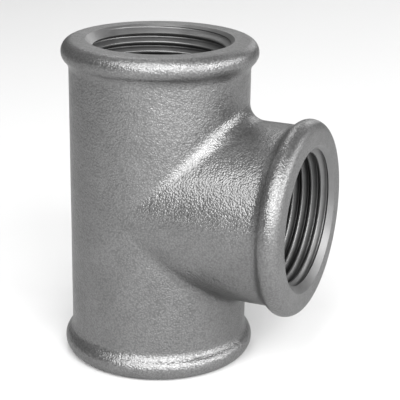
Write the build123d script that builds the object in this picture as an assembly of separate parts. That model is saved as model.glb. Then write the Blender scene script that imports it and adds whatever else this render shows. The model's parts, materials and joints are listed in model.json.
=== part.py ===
from build123d import *
import math
import os

# Malleable iron tee for 1 inch pipe: a run with a mouth at each end and a branch of the
# same bore, square to it, cast in one piece. It stands on the run's lower mouth, with the
# origin at the centre of that face, +Z up the run and +X out along the branch.
# All sizes are in millimetres.

# The socket machined in each mouth, for a right-hand parallel pipe thread
THREAD_MINOR_DIAMETER = 30.291
THREAD_DEPTH = 17.0           # from the face to the end of the threaded wall
COUNTERSINK_WIDTH = 1.95      # across the countersink, on radius
COUNTERSINK_ANGLE = 90.0      # included

# The cored chamber that joins the three sockets
CHAMBER_STEP = 2.5            # how far its wall stands back from the threaded wall
CHAMBER_STEP_HEIGHT = 1.45    # length over which it closes in to the threaded wall
CHAMBER_LAND = 1.9045         # straight wall between the crossing and that step

# The casting
WALL = 3.4                    # between the chamber and the outside
BRANCH_SLIMMER = 0.1          # the branch is cast this much slimmer than the run, on radius
CROTCH_BLEND = 4.0            # radius of the blend where the branch leaves the run
BEAD_STAND = 1.75             # how far the bead round each mouth stands out from the run
BEAD_ROUND = 2.8              # radius of the bead's rounded edge
NECK_BLEND = 2.8              # hollow between the bead and the body

# Worked out from the sizes above
MINOR_RADIUS = THREAD_MINOR_DIAMETER / 2
COUNTERSINK_RADIUS = MINOR_RADIUS + COUNTERSINK_WIDTH
COUNTERSINK_DEPTH = COUNTERSINK_WIDTH / math.tan(math.radians(COUNTERSINK_ANGLE / 2))
CHAMBER_RADIUS = MINOR_RADIUS + CHAMBER_STEP
CENTRE_TO_THREAD = CHAMBER_RADIUS + CHAMBER_LAND + CHAMBER_STEP_HEIGHT
CENTRE_TO_FACE = CENTRE_TO_THREAD + THREAD_DEPTH
BODY_RADIUS = CHAMBER_RADIUS + WALL
BEAD_CENTRE_RADIUS = BODY_RADIUS + BEAD_STAND - BEAD_ROUND
BEAD_CENTRE_HEIGHT = CENTRE_TO_FACE - BEAD_ROUND


def limb_outside(limb_radius):
    """Half section of one limb's outside: X is the radius, Y runs from the crossing to the face."""
    barrel = Rectangle(limb_radius, BEAD_CENTRE_HEIGHT, align=Align.MIN)
    bead = Pos(BEAD_CENTRE_RADIUS, BEAD_CENTRE_HEIGHT) * Circle(BEAD_ROUND)
    face = Pos(0, BEAD_CENTRE_HEIGHT) * Rectangle(BEAD_CENTRE_RADIUS, BEAD_ROUND, align=Align.MIN)
    section = barrel + bead + face
    neck = section.vertices().filter_by(lambda v: abs(v.X - limb_radius) < 1e-6).sort_by(Axis.Y)[-1]
    return fillet(neck, NECK_BLEND)


def limb_hollow(chamber_radius):
    """Half section of the hollow of one limb, from the crossing out through its mouth."""
    corners = [
        (0, 0),
        (chamber_radius, 0),
        (chamber_radius, CENTRE_TO_THREAD - CHAMBER_STEP_HEIGHT),
        (MINOR_RADIUS, CENTRE_TO_THREAD),
        (MINOR_RADIUS, CENTRE_TO_FACE - COUNTERSINK_DEPTH),
        (COUNTERSINK_RADIUS, CENTRE_TO_FACE),
        (0, CENTRE_TO_FACE),
    ]
    return make_face(Polyline(corners, close=True))


def turned(half_section):
    """Solid of revolution about Z from a half section."""
    return revolve(Plane.XZ * half_section, Axis.Z)


def crossing(run_section, branch_section):
    """The run, with a limb up and a limb down, and the branch limb along +X."""
    run = turned(run_section + mirror(run_section, about=Plane.XZ))
    branch = Rot(0, 90, 0) * turned(branch_section)
    return run + branch


def saddle_edges(solid):
    """Edges where the branch crosses the run, the only ones that are neither round nor straight."""
    return [e for e in solid.edges() if e.geom_type not in (GeomType.CIRCLE, GeomType.LINE)]


def tee_body():
    casting = crossing(limb_outside(BODY_RADIUS), limb_outside(BODY_RADIUS - BRANCH_SLIMMER))
    casting = fillet(saddle_edges(casting), CROTCH_BLEND)
    hollow = crossing(limb_hollow(CHAMBER_RADIUS), limb_hollow(CHAMBER_RADIUS - BRANCH_SLIMMER))
    return Pos(0, 0, CENTRE_TO_FACE) * (casting - hollow)


os.makedirs("parts", exist_ok=True)
body = tee_body()
body.label = "tee_body"
export_step(body, "parts/tee_body.step")
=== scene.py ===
import json
import math

import bmesh
import bpy
from mathutils import Matrix, Vector, noise


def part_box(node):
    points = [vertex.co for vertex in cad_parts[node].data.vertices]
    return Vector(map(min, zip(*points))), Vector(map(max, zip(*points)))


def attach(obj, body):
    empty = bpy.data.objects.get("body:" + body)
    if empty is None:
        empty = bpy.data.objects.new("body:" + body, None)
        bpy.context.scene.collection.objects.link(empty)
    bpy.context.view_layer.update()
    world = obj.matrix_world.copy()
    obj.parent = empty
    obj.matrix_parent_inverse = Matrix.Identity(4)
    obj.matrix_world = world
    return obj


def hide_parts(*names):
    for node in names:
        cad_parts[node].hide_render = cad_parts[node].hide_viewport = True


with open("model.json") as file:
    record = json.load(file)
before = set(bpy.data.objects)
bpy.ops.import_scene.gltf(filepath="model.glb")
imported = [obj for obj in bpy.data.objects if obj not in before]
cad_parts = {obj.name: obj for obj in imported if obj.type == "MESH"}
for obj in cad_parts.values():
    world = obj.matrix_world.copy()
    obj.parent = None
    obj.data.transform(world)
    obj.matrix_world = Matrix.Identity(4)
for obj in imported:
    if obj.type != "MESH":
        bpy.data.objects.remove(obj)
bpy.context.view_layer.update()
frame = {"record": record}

# Malleable iron tee, dressed as one cast mesh with a thread tapped in each mouth.
# It stands on the run's lower mouth. Lengths are in metres and angles in radians.

MM = 0.001

# Sizes that the frame gives
RUN_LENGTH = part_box("tee_body")[1][2]
CENTRE_TO_FACE = RUN_LENGTH / 2
BEAD_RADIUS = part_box("tee_body")[1][1]
SOCKETS = {m["name"]: m for m in frame["record"]["mounts"] if m["kind"] == "threaded_hole"}
MINOR_RADIUS = SOCKETS["upper_socket"]["dims"]["r_mm"] * MM

# The outside
BEAD_STAND = 1.75 * MM
BEAD_ROUND = 2.8 * MM
NECK_BLEND = 2.8 * MM
CROTCH_BLEND = 4.0 * MM
BODY_RADIUS = BEAD_RADIUS - BEAD_STAND

# The mouth
COUNTERSINK_WIDTH = 1.95 * MM
LIP_BREAK = 0.3 * MM
THREAD_DEPTH = 17.0 * MM

# The parallel pipe thread, eleven to the inch
PITCH = 25.4 * MM / 11
FLANK_ANGLE = math.radians(27.5)
ROOT_DEPTH = 0.640327 * PITCH
ROOT_ROUND = 0.137329 * PITCH

# The cored chamber
CHAMBER_RADIUS = MINOR_RADIUS + 2.5 * MM
CHAMBER_STEP_HEIGHT = 1.45 * MM
CORE_CORNER = 1.2 * MM

# Divisions of the mesh
ROUND_STEPS = 192
STRAIGHT_ROWS = 20
BLEND_ROWS = 14
CORE_STRAIGHT_ROWS = 4
CORE_BLEND_ROWS = 5
NECK_STEPS = 8
BEAD_STEPS = 22
LIP_STEPS = 4
TAP_STEPS_PER_TURN = 72
CREST_STEPS = 3
ROOT_STEPS = 4

# Points nearer than this to each other are made one, in the blank and after the cuts
SEAM = 0.002 * MM
WELD = 0.001 * MM

MIDDLE = Vector((0, 0, CENTRE_TO_FACE))

# The camera, at the photograph's viewing angle
CAMERA_TURN = math.radians(23.583)
CAMERA_HEIGHT_ANGLE = math.radians(19.098)
CAMERA_ROLL = math.radians(0.912)
CAMERA_DISTANCE = 302.44 * MM
CAMERA_LENS = 114.384
SENSOR_WIDTH = 36
NEAREST_SEEN = 10 * MM
AIM_ACROSS = 9.65 * MM
AIM_UP = 37.104 * MM


def direction(turn, height):
    """The way from the fitting to what stands at these angles, turned from the front and raised."""
    level = math.cos(height)
    return Vector((math.sin(turn) * level, -math.cos(turn) * level, math.sin(height)))


def camera():
    back = direction(CAMERA_TURN, CAMERA_HEIGHT_ANGLE)
    level_right = Vector((math.cos(CAMERA_TURN), math.sin(CAMERA_TURN), 0))
    level_up = back.cross(level_right)
    right = math.cos(CAMERA_ROLL) * level_right + math.sin(CAMERA_ROLL) * level_up
    up = -math.sin(CAMERA_ROLL) * level_right + math.cos(CAMERA_ROLL) * level_up
    data = bpy.data.cameras.new("photo_camera")
    data.lens = CAMERA_LENS
    data.sensor_width = SENSOR_WIDTH
    data.clip_start = NEAREST_SEEN
    obj = bpy.data.objects.new("photo_camera", data)
    bpy.context.collection.objects.link(obj)
    place = level_right * AIM_ACROSS + Vector((0, 0, AIM_UP)) + back * CAMERA_DISTANCE
    axes = Matrix((right, up, back)).transposed().to_4x4()
    obj.matrix_world = Matrix.Translation(place) @ axes
    bpy.context.scene.camera = obj


def mix(a, b, share):
    """The value that lies at this share of the way from a to b."""
    return a + (b - a) * share


def bent_grid(bm, columns, rows, place):
    """A grid of quads whose point (u, v), each from 0 to 1, is moved to place(u, v)."""
    grid = bmesh.ops.create_grid(bm, x_segments=columns, y_segments=rows, size=1.0)
    for vert in grid["verts"]:
        vert.co = place((vert.co.x + 1) / 2, (vert.co.y + 1) / 2)


# Where the two limbs' walls meet at less than this angle, there is no corner to blend
NO_CORNER = 1e-4


def crossing(bm, radius, blend, reach, straight_rows, blend_rows):
    """Two equal round limbs that cross at the middle, blended by a ball rolled along the crotch.

    The run goes up and down to reach, and the branch goes out along +X to reach.
    """
    half = ROUND_STEPS // 2
    ball = radius + blend

    def front_angle(u):
        return mix(-math.pi / 2, math.pi / 2, u)

    def elbow(side):
        def along_run(u, v):
            a = front_angle(u)
            return Vector((radius * math.cos(a), radius * math.sin(a),
                           side * mix(reach, ball * math.cos(a), v)))

        def round_crotch(u, v):
            a = front_angle(u)
            centre = Vector((ball * math.cos(a), ball * math.sin(a), side * ball * math.cos(a)))
            to_run = Vector((-math.cos(a), -math.sin(a), 0))
            to_branch = Vector((0, -math.sin(a), -side * math.cos(a)))
            between = math.acos(min(1.0, math.sin(a) ** 2))
            if between < NO_CORNER:
                return centre + blend * to_run
            near = math.sin((1 - v) * between) / math.sin(between)
            far = math.sin(v * between) / math.sin(between)
            return centre + blend * (near * to_run + far * to_branch)

        def along_branch(u, v):
            a = front_angle(u)
            return Vector((mix(ball * math.cos(a), reach, v), radius * math.sin(a),
                           side * radius * math.cos(a)))

        bent_grid(bm, half, straight_rows, along_run)
        bent_grid(bm, half, blend_rows, round_crotch)
        bent_grid(bm, half, straight_rows, along_branch)

    def back_of_run(u, v):
        a = mix(math.pi / 2, 3 * math.pi / 2, u)
        return Vector((radius * math.cos(a), radius * math.sin(a), mix(reach, -reach, v)))

    elbow(1)
    elbow(-1)
    bent_grid(bm, half, 2 * straight_rows, back_of_run)


def arc(centre, radius, start, end, steps):
    """Points (radius from the axis, height) along an arc of the section."""
    angles = [mix(start, end, i / steps) for i in range(steps + 1)]
    return [(centre[0] + radius * math.cos(a), centre[1] + radius * math.sin(a)) for a in angles]


def neck_and_bead():
    """Where the neck's hollow meets the bead's round: both centres and the angle between them."""
    bead = (BEAD_RADIUS - BEAD_ROUND, CENTRE_TO_FACE - BEAD_ROUND)
    neck_radius = BODY_RADIUS + NECK_BLEND
    apart = BEAD_ROUND + NECK_BLEND
    drop = math.sqrt(apart ** 2 - (neck_radius - bead[0]) ** 2)
    neck = (neck_radius, bead[1] - drop)
    tangent = math.atan2(drop, neck_radius - bead[0])
    return bead, neck, tangent


def mouth_section():
    """The section of one mouth from the body, over the bead and face, down into the chamber."""
    bead, neck, tangent = neck_and_bead()
    wide = MINOR_RADIUS + COUNTERSINK_WIDTH
    lip_turn = math.pi / 4
    lip_centre = (wide + LIP_BREAK * math.tan(lip_turn / 2), CENTRE_TO_FACE - LIP_BREAK)
    points = arc(neck, NECK_BLEND, math.pi, math.pi - tangent, NECK_STEPS)
    points += arc(bead, BEAD_ROUND, -tangent, math.pi / 2, BEAD_STEPS)[1:]
    points += [(mix(points[-1][0], lip_centre[0], 0.5), CENTRE_TO_FACE)]
    points += arc(lip_centre, LIP_BREAK, math.pi / 2, math.pi / 2 + lip_turn, LIP_STEPS)
    points += [
        (MINOR_RADIUS, CENTRE_TO_FACE - COUNTERSINK_WIDTH),
        (MINOR_RADIUS, CENTRE_TO_FACE - THREAD_DEPTH),
        (CHAMBER_RADIUS, CENTRE_TO_FACE - THREAD_DEPTH - CHAMBER_STEP_HEIGHT),
    ]
    return points


# Each mouth has a frame of its own: local Z points out of it, from the middle of the run
LIMBS = {
    "upper_socket": Matrix.Identity(3),
    "lower_socket": Matrix.Rotation(math.pi, 3, "X"),
    "branch_socket": Matrix(((0, 0, 1), (1, 0, 0), (0, 1, 0))),
}


def spun(bm, points, turn):
    """Turns an open section (radius, height) once round local Z, in the limb's frame."""
    verts = [bm.verts.new(turn @ Vector((x, 0, z))) for x, z in points]
    edges = [bm.edges.new(pair) for pair in zip(verts, verts[1:])]
    bmesh.ops.spin(bm, geom=verts + edges, cent=(0, 0, 0), axis=turn @ Vector((0, 0, 1)),
                   dvec=(0, 0, 0), angle=2 * math.pi, steps=ROUND_STEPS, use_merge=True)


# The skin of a sand casting wanders inwards by up to these depths, over these lengths
WANDER = ((0.09 * MM, 11 * MM), (0.05 * MM, 3.2 * MM))

# Behind a face, the skin is faint down to the first depth and full from the second
FACED_DEPTH = 0.25 * MM
CAST_DEPTH = 2.0 * MM

# What lies nearer to an axis than this, halfway through the wall, is inside the fitting
INSIDE_RADIUS = CHAMBER_RADIUS + 1.7 * MM


def smoothstep(low, high, value):
    """0 up to low and 1 from high, with a smooth rise between them."""
    share = min(1.0, max(0.0, (value - low) / (high - low)))
    return share * share * (3 - 2 * share)


def wander(bm):
    """Moves the cast outside in a little, unevenly, and leaves the faced and bored parts true."""
    bm.normal_update()
    for vert in bm.verts:
        x, y, z = vert.co
        from_run = math.hypot(x, y)
        from_branch = math.hypot(y, z) if x > 0 else from_run
        if min(from_run, from_branch) < INSIDE_RADIUS:
            continue
        depth = CENTRE_TO_FACE - max(abs(z), x)
        inwards = sum(size * (0.5 + 0.5 * noise.noise(vert.co / length)) for size, length in WANDER)
        vert.co -= vert.normal * inwards * smoothstep(FACED_DEPTH, CAST_DEPTH, depth)


def casting():
    """The blank as it comes to the tapping machine."""
    bm = bmesh.new()
    _, neck, _ = neck_and_bead()
    crossing(bm, BODY_RADIUS, CROTCH_BLEND, neck[1], STRAIGHT_ROWS, BLEND_ROWS)
    chamber_reach = CENTRE_TO_FACE - THREAD_DEPTH - CHAMBER_STEP_HEIGHT
    crossing(bm, CHAMBER_RADIUS, CORE_CORNER, chamber_reach, CORE_STRAIGHT_ROWS, CORE_BLEND_ROWS)
    for turn in LIMBS.values():
        spun(bm, mouth_section(), turn)
    bmesh.ops.remove_doubles(bm, verts=bm.verts, dist=SEAM)
    bmesh.ops.recalc_face_normals(bm, faces=bm.faces)
    wander(bm)
    return bm


# How far down each mouth the first crest lies on the section where the turn starts
CREST_START = {"upper_socket": 0.27 * MM, "lower_socket": 0.9 * MM, "branch_socket": 0.62 * MM}

# The rounding of a crest starts this far under the bored wall
CREST_LEFT = 0.004 * MM

# The tap's back stands this far inside the bore, and the tap runs this far past both its ends
TAP_BACK = 0.07 * MM
TAP_OVERRUN = 1.5 * MM


def tap_section(height):
    """One tooth of the tap at a height: full thread form, with a back that stays inside the bore.

    The root and crest are rounded alike, and the two flanks are tangent to both.
    """
    flank_turn = math.pi / 2 - FLANK_ANGLE
    crest_turn = math.acos(1 - CREST_LEFT / ROOT_ROUND)
    root = (MINOR_RADIUS + ROOT_DEPTH - ROOT_ROUND, height)
    crest_radius = MINOR_RADIUS + ROOT_ROUND
    back = MINOR_RADIUS - TAP_BACK
    half_back = PITCH / 2 - TAP_BACK / 2
    lower = arc((crest_radius, height - PITCH / 2), ROOT_ROUND,
                math.pi - crest_turn, math.pi - flank_turn, CREST_STEPS)
    tip = arc(root, ROOT_ROUND, -flank_turn, flank_turn, ROOT_STEPS)
    upper = arc((crest_radius, height + PITCH / 2), ROOT_ROUND,
                flank_turn - math.pi, crest_turn - math.pi, CREST_STEPS)
    return [(back, height - half_back)] + lower + tip + upper + [(back, height + half_back)]


def tap(name):
    """The helical tooth that cuts one socket's thread, from past the chamber step to past the face."""
    bm = bmesh.new()
    turn = LIMBS[name]
    start_depth = THREAD_DEPTH + CHAMBER_STEP_HEIGHT + TAP_OVERRUN
    crest = CREST_START[name] + PITCH / 2
    first = CENTRE_TO_FACE - crest - PITCH * math.floor((start_depth - crest) / PITCH)
    turns = math.ceil((CENTRE_TO_FACE + TAP_OVERRUN - first) / PITCH)
    verts = [bm.verts.new(Vector((x, 0, z))) for x, z in tap_section(first)]
    face = bm.faces.new(verts)
    bmesh.ops.spin(bm, geom=[face], cent=(0, 0, 0), axis=(0, 0, 1),
                   dvec=(0, 0, PITCH / TAP_STEPS_PER_TURN), angle=turns * 2 * math.pi,
                   steps=turns * TAP_STEPS_PER_TURN, use_merge=False)
    bmesh.ops.holes_fill(bm, edges=[e for e in bm.edges if e.is_boundary], sides=0)
    bmesh.ops.recalc_face_normals(bm, faces=bm.faces)
    bmesh.ops.transform(bm, matrix=turn.to_4x4(), verts=bm.verts)
    return bm


def as_object(bm, name, lift=MIDDLE):
    """Lifts a finished bmesh, as a rule to where the fitting stands, and makes it an object."""
    bmesh.ops.translate(bm, vec=lift, verts=bm.verts)
    mesh = bpy.data.meshes.new(name)
    bm.to_mesh(mesh)
    bm.free()
    obj = bpy.data.objects.new(name, mesh)
    bpy.context.collection.objects.link(obj)
    return obj


def cut(piece, cutter):
    """Takes the cutter out of the piece and throws the cutter away."""
    modifier = piece.modifiers.new("cut", "BOOLEAN")
    modifier.operation = "DIFFERENCE"
    modifier.solver = "MANIFOLD"
    modifier.object = cutter
    with bpy.context.temp_override(object=piece, active_object=piece):
        bpy.ops.object.modifier_apply(modifier=modifier.name)
    mesh = cutter.data
    bpy.data.objects.remove(cutter)
    bpy.data.meshes.remove(mesh)


def weld(piece):
    """Makes the points one that the cuts left almost on top of each other."""
    bm = bmesh.new()
    bm.from_mesh(piece.data)
    bmesh.ops.remove_doubles(bm, verts=bm.verts, dist=WELD)
    bm.to_mesh(piece.data)
    bm.free()


def named_node(tree, kind, **settings):
    """A node of a material, with its input sockets set by name."""
    node = tree.nodes.new(kind)
    for name, value in settings.items():
        node.inputs[name.replace("_", " ")].default_value = value
    return node


def math_node(tree, operation, *values):
    """The output of a Math node, whose inputs are sockets or numbers."""
    node = tree.nodes.new("ShaderNodeMath")
    node.operation = operation
    for socket, value in zip(node.inputs, values):
        if isinstance(value, bpy.types.NodeSocket):
            tree.links.new(value, socket)
        else:
            socket.default_value = value
    return node.outputs["Value"]


def ranged(tree, value, low, high, from_low=0.3, from_high=0.7):
    """A socket's value, changed so that from_low becomes low and from_high becomes high."""
    node = named_node(tree, "ShaderNodeMapRange", From_Min=from_low, From_Max=from_high,
                      To_Min=low, To_Max=high)
    tree.links.new(value, node.inputs["Value"])
    return node.outputs["Result"]


def parts_of(tree, vector):
    """The X, Y and Z of a vector."""
    node = tree.nodes.new("ShaderNodeSeparateXYZ")
    tree.links.new(vector, node.inputs["Vector"])
    return node.outputs["X"], node.outputs["Y"], node.outputs["Z"]


def below_faces(tree, where):
    """How far a point lies behind the nearest of the three planes of the faces."""
    x, _, z = parts_of(tree, where)
    from_top = math_node(tree, "SUBTRACT", RUN_LENGTH, z)
    from_branch = math_node(tree, "SUBTRACT", CENTRE_TO_FACE, x)
    return math_node(tree, "MINIMUM", math_node(tree, "MINIMUM", z, from_top), from_branch)


def picked(tree, share, first, second):
    """The first value where the share is 0 and the second where it is 1."""
    node = tree.nodes.new("ShaderNodeMix")
    for name, value in (("Factor", share), ("A", first), ("B", second)):
        tree.links.new(value, node.inputs[name])
    return node.outputs["Result"]


# Points further out along the branch than this belong to its mouth
BRANCH_STARTS = CHAMBER_RADIUS + 0.5 * MM


def grooves(tree, where, normal):
    """How a point lies in the mouth that it is in: its depth under the bored wall or the
    countersink, and how much its surface faces out of that mouth, from -1 to 1.
    """
    x, y, z = parts_of(tree, where)
    to_branch, _, up = parts_of(tree, normal)
    rise = math_node(tree, "SUBTRACT", z, CENTRE_TO_FACE)
    in_branch = math_node(tree, "GREATER_THAN", x, BRANCH_STARTS)
    squares = [math_node(tree, "POWER", math_node(tree, "ABSOLUTE", value), 2.0)
               for value in (y, picked(tree, in_branch, x, rise))]
    radius = math_node(tree, "SQRT", math_node(tree, "ADD", *squares))
    flare = math_node(tree, "SUBTRACT", COUNTERSINK_WIDTH, below_faces(tree, where))
    wall = math_node(tree, "ADD", math_node(tree, "MAXIMUM", flare, 0.0), MINOR_RADIUS)
    up_or_down = math_node(tree, "MULTIPLY", up, math_node(tree, "SIGN", rise))
    return math_node(tree, "SUBTRACT", radius, wall), picked(tree, in_branch, up_or_down, to_branch)


# How metallic the iron is
METAL_SHARE = 0.8


def iron(name):
    """A new iron material, with its tree and its shader."""
    material = bpy.data.materials.new(name)
    material.use_nodes = True
    shader = material.node_tree.nodes["Principled BSDF"]
    shader.inputs["Metallic"].default_value = METAL_SHARE
    return material, material.node_tree, shader


# The cast skin: its darkest and lightest tone, how much of its shine is left at a grazing view,
# its smoothest and roughest gloss, and how much rougher than that the faces are
SKIN_TONES = (0.153, 0.182)
GRAZING_SHINE = 0.7
SKIN_ROUGHNESS = (0.28, 0.36)
FACE_SATIN = 0.12

# The sand's grain: pebbles, stirred out of line. The tone is multiplied by the two shades, at the two
# distances from a pebble's middle: lighter on a pebble and darker in the hollows between, partly dirt
# in the pits and partly painted shade in the hollows. The faces keep a share of the relief.
PEBBLES_PER_METRE = 2400
PEBBLE_SMOOTHNESS = 0.5
STIRS_PER_METRE = 900
STIR = 0.3 * MM
PEBBLE_DIRT_AND_SHADE = (1.08, 0.74)
SHADE_DISTANCES = (0.15, 0.75)
PEBBLE_HEIGHT = 0.08 * MM
RELIEF_ON_FACES = 0.6

# Low waves under the grain, and blotches of tone
WAVES_PER_METRE = 620
WAVE_HEIGHT = 0.6 * MM
WAVE_SHARE = 0.2
BLOTCHES_PER_METRE = 140


def cast_iron():
    """Bare malleable iron as it leaves the sand: a tight pebbled skin that glints on its slopes."""
    material, tree, shader = iron("cast_iron_skin")
    shader.inputs["Specular Tint"].default_value = (GRAZING_SHINE, GRAZING_SHINE, GRAZING_SHINE, 1)
    where = tree.nodes.new("ShaderNodeTexCoord").outputs["Object"]
    skin = ranged(tree, below_faces(tree, where), 0.0, 1.0, FACED_DEPTH, CAST_DEPTH)

    stir = named_node(tree, "ShaderNodeTexNoise", Scale=STIRS_PER_METRE, Detail=1.0)
    waves = named_node(tree, "ShaderNodeTexNoise", Scale=WAVES_PER_METRE, Detail=2.0, Roughness=0.5)
    blotches = named_node(tree, "ShaderNodeTexNoise", Scale=BLOTCHES_PER_METRE, Detail=3.0)
    for texture in (stir, waves, blotches):
        tree.links.new(where, texture.inputs["Vector"])
    stirred = tree.nodes.new("ShaderNodeVectorMath")
    stirred.operation = "MULTIPLY_ADD"
    tree.links.new(stir.outputs["Color"], stirred.inputs[0])
    stirred.inputs[1].default_value = (STIR, STIR, STIR)
    tree.links.new(where, stirred.inputs[2])
    pebbles = named_node(tree, "ShaderNodeTexVoronoi", Scale=PEBBLES_PER_METRE)
    pebbles.feature = "SMOOTH_F1"
    pebbles.inputs["Smoothness"].default_value = PEBBLE_SMOOTHNESS
    tree.links.new(stirred.outputs["Vector"], pebbles.inputs["Vector"])
    hollows = pebbles.outputs["Distance"]

    tone = ranged(tree, blotches.outputs["Fac"], *SKIN_TONES)
    # Lighter on the pebbles and darker in the hollows between them: partly dirt in the pits, partly
    # painted shade in the hollows
    pit_dirt_and_shade = ranged(tree, hollows, *PEBBLE_DIRT_AND_SHADE, *SHADE_DISTANCES)
    tree.links.new(math_node(tree, "MULTIPLY", tone, pit_dirt_and_shade), shader.inputs["Base Color"])
    satin = math_node(tree, "MULTIPLY_ADD", skin, -FACE_SATIN, FACE_SATIN)
    gloss = ranged(tree, waves.outputs["Fac"], *SKIN_ROUGHNESS)
    tree.links.new(math_node(tree, "ADD", gloss, satin), shader.inputs["Roughness"])

    low = named_node(tree, "ShaderNodeBump", Distance=WAVE_HEIGHT)
    tree.links.new(math_node(tree, "MULTIPLY", skin, WAVE_SHARE), low.inputs["Strength"])
    tree.links.new(waves.outputs["Fac"], low.inputs["Height"])
    fine = named_node(tree, "ShaderNodeBump", Distance=PEBBLE_HEIGHT)
    fine.invert = True
    relief = math_node(tree, "MULTIPLY_ADD", skin, 1 - RELIEF_ON_FACES, RELIEF_ON_FACES)
    tree.links.new(relief, fine.inputs["Strength"])
    tree.links.new(hollows, fine.inputs["Height"])
    tree.links.new(low.outputs["Normal"], fine.inputs["Normal"])
    tree.links.new(fine.outputs["Normal"], shader.inputs["Normal"])
    return material


# Turned and tapped iron: its darkest and lightest tone, its gloss, its clouds and its tool marks
MACHINED_TONES = (0.136, 0.162)
MACHINED_ROUGHNESS = (0.41, 0.48)
CLOUDS_PER_METRE = 220
MARKS_PER_METRE = 3500
MARK_HEIGHT = 0.2 * MM
MARK_SHARE = 0.05

# Swarf and painted shade darken the roots by this share, more the further into the mouth. It starts and
# is full at these depths of groove, and at these depths behind the face.
ROOT_SWARF_AND_SHADE = 0.75
ROOT_SWARF_AND_SHADE_IN_GROOVE = (0.45 * ROOT_DEPTH, 0.85 * ROOT_DEPTH)
ROOT_SWARF_AND_SHADE_IN_MOUTH = (2.5 * MM, 6.5 * MM)

# Painted shade darkens the flanks that face into the fitting, behind the crests, by this share. It goes
# with how much they face out of the mouth, and starts and is full at these depths of groove.
BEHIND_CREST_SHADE = 0.8
BEHIND_CREST_TURNS = (-0.5, 0.3)
BEHIND_CREST_IN_GROOVE = (0.03 * MM, 0.15 * MM)


def machined_iron():
    """Turned and tapped iron: a satin surface with faint cloudiness and tool marks, with swarf and
    painted shade in the thread roots and painted shade on the flanks behind the crests.
    """
    material, tree, shader = iron("machined_iron")
    coordinates = tree.nodes.new("ShaderNodeTexCoord")
    where = coordinates.outputs["Object"]
    clouds = named_node(tree, "ShaderNodeTexNoise", Scale=CLOUDS_PER_METRE, Detail=3.0)
    marks = named_node(tree, "ShaderNodeTexNoise", Scale=MARKS_PER_METRE, Detail=2.0)
    for texture in (clouds, marks):
        tree.links.new(where, texture.inputs["Vector"])
    tone = ranged(tree, clouds.outputs["Fac"], *MACHINED_TONES)
    deep, outwards = grooves(tree, where, coordinates.outputs["Normal"])
    # Swarf and painted shade in the thread roots, darker further into the mouth
    root_swarf_and_shade = math_node(tree, "MULTIPLY", ranged(tree, deep, 0.0, 1.0, *ROOT_SWARF_AND_SHADE_IN_GROOVE),
                      ranged(tree, below_faces(tree, where), 0.0, ROOT_SWARF_AND_SHADE, *ROOT_SWARF_AND_SHADE_IN_MOUTH))
    # Painted shade on the flanks behind the crests, stronger the more they face into the fitting
    behind_crest_shade = math_node(tree, "MULTIPLY", ranged(tree, outwards, BEHIND_CREST_SHADE, 0.0, *BEHIND_CREST_TURNS),
                    ranged(tree, deep, 0.0, 1.0, *BEHIND_CREST_IN_GROOVE))
    # What is left of the tone after the swarf with painted shade in the roots and the painted shade
    # behind the crests
    clean_and_unshaded = math_node(tree, "SUBTRACT", 1.0, math_node(tree, "MAXIMUM", root_swarf_and_shade, behind_crest_shade))
    tree.links.new(math_node(tree, "MULTIPLY", tone, clean_and_unshaded), shader.inputs["Base Color"])
    tree.links.new(ranged(tree, clouds.outputs["Fac"], *MACHINED_ROUGHNESS), shader.inputs["Roughness"])
    torn = named_node(tree, "ShaderNodeBump", Distance=MARK_HEIGHT, Strength=MARK_SHARE)
    tree.links.new(marks.outputs["Fac"], torn.inputs["Height"])
    tree.links.new(torn.outputs["Normal"], shader.inputs["Normal"])
    return material


# Machined faces are told from cast ones by their middles: behind the mouth's face and off the
# cone by more than this, and out to this far past the thread's roots
BEHIND_FACE = 0.01 * MM
OFF_CONE = 0.02 * MM
PAST_ROOTS = 0.05 * MM
MACHINED_SLOT = 1


def mark_machined(piece):
    """Gives the countersinks and threads the machined finish, also where the tap ran out into
    the cone behind them.
    """
    tapped = MINOR_RADIUS + ROOT_DEPTH + PAST_ROOTS
    lip = MINOR_RADIUS + COUNTERSINK_WIDTH + LIP_BREAK
    cone_slope = (CHAMBER_RADIUS - MINOR_RADIUS) / CHAMBER_STEP_HEIGHT
    for polygon in piece.data.polygons:
        point = polygon.center - MIDDLE
        for turn in LIMBS.values():
            local = turn.transposed() @ point
            depth = CENTRE_TO_FACE - local.z
            out = math.hypot(local.x, local.y)
            cone = MINOR_RADIUS + (depth - THREAD_DEPTH) * cone_slope
            bored = BEHIND_FACE < depth < THREAD_DEPTH and out < max(tapped, lip - depth)
            on_step = 0 <= depth - THREAD_DEPTH < CHAMBER_STEP_HEIGHT
            run_out = on_step and cone + OFF_CONE < out < tapped
            if bored or run_out:
                polygon.material_index = MACHINED_SLOT


# Edges sharper than this keep their corner in the shading
SHARP = math.radians(28)


def tee():
    """The casting with its threads cut, in its two finishes."""
    piece = as_object(casting(), "tee_casting")
    for name in LIMBS:
        cut(piece, as_object(tap(name), "tap_" + name))
    weld(piece)
    piece.data.materials.clear()
    piece.data.materials.append(cast_iron())
    piece.data.materials.append(machined_iron())
    mark_machined(piece)
    for polygon in piece.data.polygons:
        polygon.use_smooth = True
    piece.data.set_sharp_from_angle(angle=SHARP)
    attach(piece, "root")
    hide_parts("tee_body")


# The plain floor: half its width, its tone and its roughness
FLOOR_REACH = 6.0
FLOOR_TONE = 0.6
FLOOR_ROUGHNESS = 0.8


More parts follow.
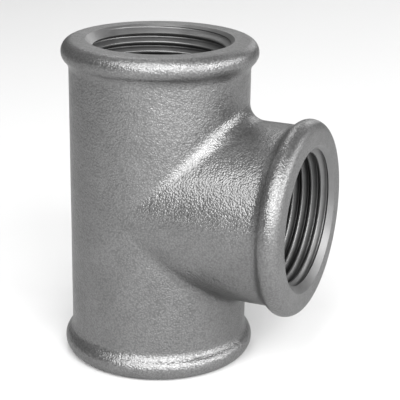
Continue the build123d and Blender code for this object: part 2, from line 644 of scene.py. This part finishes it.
def floor():
    bm = bmesh.new()
    bmesh.ops.create_grid(bm, x_segments=1, y_segments=1, size=FLOOR_REACH)
    ground = as_object(bm, "floor", lift=Vector())
    material = bpy.data.materials.new("pale_floor")
    material.use_nodes = True
    shader = material.node_tree.nodes["Principled BSDF"]
    shader.inputs["Base Color"].default_value = (FLOOR_TONE, FLOOR_TONE, FLOOR_TONE, 1)
    shader.inputs["Roughness"].default_value = FLOOR_ROUGHNESS
    ground.data.materials.append(material)


# Plain soft light
LIGHT_DISTANCE = 0.85
LIGHT_SIZE = 0.36
SKY_STRENGTH = 0.2


def soft_light(name, turn, height, power):
    """A round soft light aimed at the fitting's middle, turned from the front and raised by
    these degrees.
    """
    way = direction(math.radians(turn), math.radians(height))
    data = bpy.data.lights.new(name, "AREA")
    data.shape = "DISK"
    data.size = LIGHT_SIZE
    data.energy = power
    obj = bpy.data.objects.new(name, data)
    obj.location = MIDDLE + way * LIGHT_DISTANCE
    obj.rotation_euler = (-way).to_track_quat("-Z", "Y").to_euler()
    obj.visible_camera = False
    bpy.context.collection.objects.link(obj)


def studio():
    """Lights from the front and the right, as the photograph's highlights lie, and weak ones behind."""
    bpy.context.scene.view_settings.view_transform = "Standard"
    world = bpy.data.worlds.new("studio")
    world.use_nodes = True
    sky = world.node_tree.nodes["Background"]
    sky.inputs["Color"].default_value = (1, 1, 1, 1)
    sky.inputs["Strength"].default_value = SKY_STRENGTH
    bpy.context.scene.world = world
    soft_light("overhead", 0, 85, 0.5)
    soft_light("front_high", 10, 58, 2.8)
    soft_light("front", 15, 38, 1.5)
    soft_light("front_low", 0, 20, 2.9)
    soft_light("front_right", 45, 38, 3.8)
    soft_light("front_right_low", 30, 20, 2.4)
    soft_light("front_right_floor", 30, 5, 1.1)
    soft_light("left", 336, 42, 2.2)
    soft_light("right", 60, 38, 1.1)
    soft_light("right_low", 60, 20, 0.9)
    soft_light("right_floor", 60, 5, 1.7)
    soft_light("side", 90, 20, 4.2)
    soft_light("side_back", 120, 20, 1.8)
    soft_light("back", 180, 20, 1.0)
    soft_light("back_high", 215, 50, 1.6)
    soft_light("back_left", 205, 20, 0.35)


camera()
tee()
floor()
studio()
